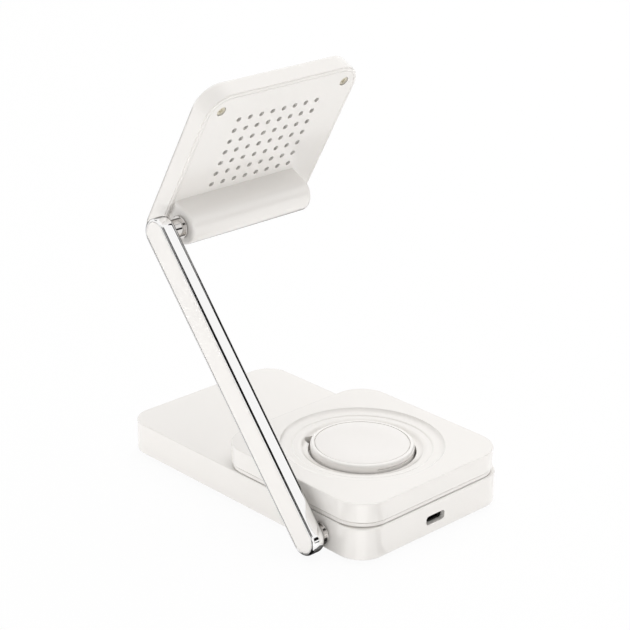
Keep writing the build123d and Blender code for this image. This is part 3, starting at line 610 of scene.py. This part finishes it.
world = bpy.data.worlds.new("studio")
world.use_nodes = True
scene.world = world
tree = world.node_tree
soft = tree.nodes["Background"]
soft.inputs["Color"].default_value = dome_tint
direction = tree.nodes.new("ShaderNodeTexCoord")
towards_peak = tree.nodes.new("ShaderNodeVectorMath")
towards_peak.operation = "DOT_PRODUCT"
towards_peak.inputs[1].default_value = dome_peak
dome = tree.nodes.new("ShaderNodeMapRange")
dome.interpolation_type = "SMOOTHSTEP"
dome.inputs["From Min"].default_value = -0.2
dome.inputs["From Max"].default_value = 0.9
dome.inputs["To Min"].default_value = dome_low
dome.inputs["To Max"].default_value = dome_high
tree.links.new(direction.outputs["Generated"], towards_peak.inputs[0])
tree.links.new(towards_peak.outputs["Value"], dome.inputs["Value"])
tree.links.new(dome.outputs["Result"], soft.inputs["Strength"])
white = tree.nodes.new("ShaderNodeBackground")
white.inputs["Color"].default_value = (1, 1, 1, 1)
white.inputs["Strength"].default_value = 1.0
blend = tree.nodes.new("ShaderNodeMixShader")
tree.links.new(seen_or_mirrored(tree), blend.inputs["Fac"])
tree.links.new(soft.outputs["Background"], blend.inputs[1])
tree.links.new(white.outputs["Background"], blend.inputs[2])
tree.links.new(blend.outputs["Shader"], tree.nodes["World Output"].inputs["Surface"])

floor_share = 0.06
floor_size = 6.0
floor_paint = 0.95
floor_gap = 0.05 * mm

floor_finish = bpy.data.materials.new("floor_white")
floor_finish.use_nodes = True
tree = floor_finish.node_tree
tree.nodes.remove(tree.nodes["Principled BSDF"])
paint = tree.nodes.new("ShaderNodeBsdfDiffuse")
paint.inputs["Color"].default_value = (floor_paint, floor_paint, floor_paint, 1)
glow = tree.nodes.new("ShaderNodeEmission")
glow.inputs["Strength"].default_value = 1.0
shaded = tree.nodes.new("ShaderNodeMixShader")
shaded.inputs["Fac"].default_value = floor_share
tree.links.new(glow.outputs["Emission"], shaded.inputs[1])
tree.links.new(paint.outputs["BSDF"], shaded.inputs[2])
ground = tree.nodes.new("ShaderNodeMixShader")
tree.links.new(seen_or_mirrored(tree), ground.inputs["Fac"])
tree.links.new(paint.outputs["BSDF"], ground.inputs[1])
tree.links.new(shaded.outputs["Shader"], ground.inputs[2])
tree.links.new(ground.outputs["Shader"], tree.nodes["Material Output"].inputs["Surface"])

shape = bmesh.new()
bmesh.ops.create_grid(shape, x_segments=1, y_segments=1, size=floor_size / 2)
bmesh.ops.translate(shape, verts=shape.verts, vec=(0, 0, -floor_gap))
floor_mesh = bpy.data.meshes.new("floor")
shape.to_mesh(floor_mesh)
shape.free()
floor = bpy.data.objects.new("floor", floor_mesh)
floor.data.materials.append(floor_finish)
scene.collection.objects.link(floor)
print("floor, world:", floor.name, world.name)

# %% [markdown]
# ## Lamps
# A large soft lamp hangs over the object and a weaker one stands behind it, so that tops are the brightest
# faces and no shadow has a hard edge. Two low strips lift the walls that look at the camera, one for the
# arm's side and one for the inlet's side. Mirrors don't see the lamps: the cards draw the metal.


# %% Lamps
def softbox(name, place, aim, width, height, power):
    """A rectangular soft lamp that looks at a point."""
    lamp_data = bpy.data.lights.new(name, "AREA")
    lamp_data.shape = "RECTANGLE"
    lamp_data.size = width
    lamp_data.size_y = height
    lamp_data.energy = power
    lamp = bpy.data.objects.new(name, lamp_data)
    lamp.location = place
    lamp.rotation_euler = (Vector(aim) - Vector(place)).to_track_quat("-Z", "Y").to_euler()
    lamp.visible_glossy = False
    scene.collection.objects.link(lamp)
    return lamp


object_middle = (0, 0, 0.07)
low_middle = (0, 0, 0.012)
key_power = 3.0
far_power = 5.6
arm_strip_power = 0.96
inlet_strip_power = 0.62
softbox("key_softbox", (-0.95, -0.60, 0.95), object_middle, 0.8, 0.8, key_power)
softbox("far_softbox", (-0.34, 0.08, 1.22), object_middle, 1.3, 1.3, far_power)
softbox("arm_side_strip", (0.50, -0.04, 0.012), low_middle, 0.9, 0.02, arm_strip_power)
softbox("inlet_side_strip", (-0.24, 0.46, 0.012), low_middle, 0.9, 0.02, inlet_strip_power)

# %% [markdown]
# ## Cards around the object
# Bright metal has no colour of its own: it is drawn by what it mirrors. In a white room it would vanish, so
# a studio hangs black cards around it, and each round edge of the metal then carries a black line, which the
# metal's finish deepens with shade painted towards its outline. The standing cards are stretches of a tall
# drum around the object. The others lie on the ground, where the upright walls mirror them: dark ones beside
# the near corner and a white one in its middle. Only mirrored rays meet the cards, so they shade nothing
# else.


# %% Flags
flag_steps = 24
flag_distance = 1.6


def sweep_flag(name, centre, start, end, first, second, card):
    """A card swept about an upright axis through a point from an upright line, seen in mirrors alone."""
    shape = bmesh.new()
    shape.edges.new((shape.verts.new(first), shape.verts.new(second)))
    bmesh.ops.rotate(shape, verts=shape.verts, cent=(0, 0, 0), matrix=Matrix.Rotation(start, 3, "Z"))
    line = shape.verts[:] + shape.edges[:]
    bmesh.ops.spin(
        shape, geom=line, cent=(0, 0, 0), axis=(0, 0, 1), angle=end - start, steps=flag_steps
    )
    bmesh.ops.translate(shape, verts=shape.verts, vec=centre)
    mesh = bpy.data.meshes.new(name)
    shape.to_mesh(mesh)
    shape.free()
    screen = bpy.data.objects.new(name, mesh)
    screen.data.materials.append(card)
    screen.visible_camera = False
    screen.visible_diffuse = False
    screen.visible_shadow = False
    screen.visible_transmission = False
    screen.visible_volume_scatter = False
    scene.collection.objects.link(screen)
    return screen


def flag(name, start, end, low, high, radius):
    """A standing flag between two azimuths and two elevations."""
    first = (radius, 0, radius * tan(low))
    second = (radius, 0, radius * tan(high))
    return sweep_flag(name, (0, 0, 0), start, end, first, second, card_black)


def ground_flag(name, centre, start, end, near, far, card):
    """A flag that lies on the ground around a point, between two azimuths and two distances."""
    return sweep_flag(name, centre, start, end, (near, 0, 0), (far, 0, 0), card)


def card_finish(name, tone, glow=0.0):
    """Plain matt card of one grey, which may glow as a small light table does."""
    material = bpy.data.materials.new(name)
    material.use_nodes = True
    shader = material.node_tree.nodes["Principled BSDF"]
    shader.inputs["Base Color"].default_value = (tone, tone, tone, 1)
    shader.inputs["Specular IOR Level"].default_value = 0.0
    shader.inputs["Emission Color"].default_value = (1, 1, 1, 1)
    shader.inputs["Emission Strength"].default_value = glow
    return material


card_black = card_finish("card_black", 0.01)
card_grey = card_finish("card_grey", 0.32)
card_white = card_finish("card_white", 0.8, 1.1)
standing_flags = [
    ("edge_flag_low", -26, -4, 0.2, 15),
    ("edge_flag_rise", -4, 16, 0.2, 28),
    ("edge_flag_middle", 16, 45, 14, 46),
    ("edge_flag_high", 45, 112, 34, 58),
    ("arm_foot_flag", 112, 150, 0.2, 18),
    ("back_flag_high", 149, 166, 12, 38),
    ("back_flag_low", 166, 200, 0.2, 27),
    ("rear_edge_flag", 150, 178, 36, 50),
    ("side_edge_flag", -76, -46, 30, 50),
]
for name, start, end, low, high in standing_flags:
    flag(name, radians(start), radians(end), radians(low), radians(high), flag_distance)
corner_middle = (29.5 * mm, 57.6 * mm, 0)
middle = (0, 0, 0)
ground_flags = [
    ("ground_flag", middle, 183, 235, 0.13, 0.45, card_black),
    ("rim_flag", middle, 232, 298, 0.14, 1.5, card_black),
    ("slab_left_flag", corner_middle, -24, -5, 0.014, 0.047, card_black),
    ("slab_right_flag", corner_middle, 96, 115, 0.014, 0.047, card_black),
    ("block_left_flag", corner_middle, -16, 12, 0.047, 0.085, card_black),
    ("block_right_flag", corner_middle, 79, 107, 0.047, 0.085, card_black),
    ("corner_card", corner_middle, 30, 62, 0.012, 0.075, card_white),
    ("arm_end_flag", middle, 40, 56, 0.058, 0.071, card_grey),
]
for name, centre, start, end, near, far, card in ground_flags:
    ground_flag(name, centre, radians(start), radians(end), near, far, card)
print("flags:", len(standing_flags) + len(ground_flags))
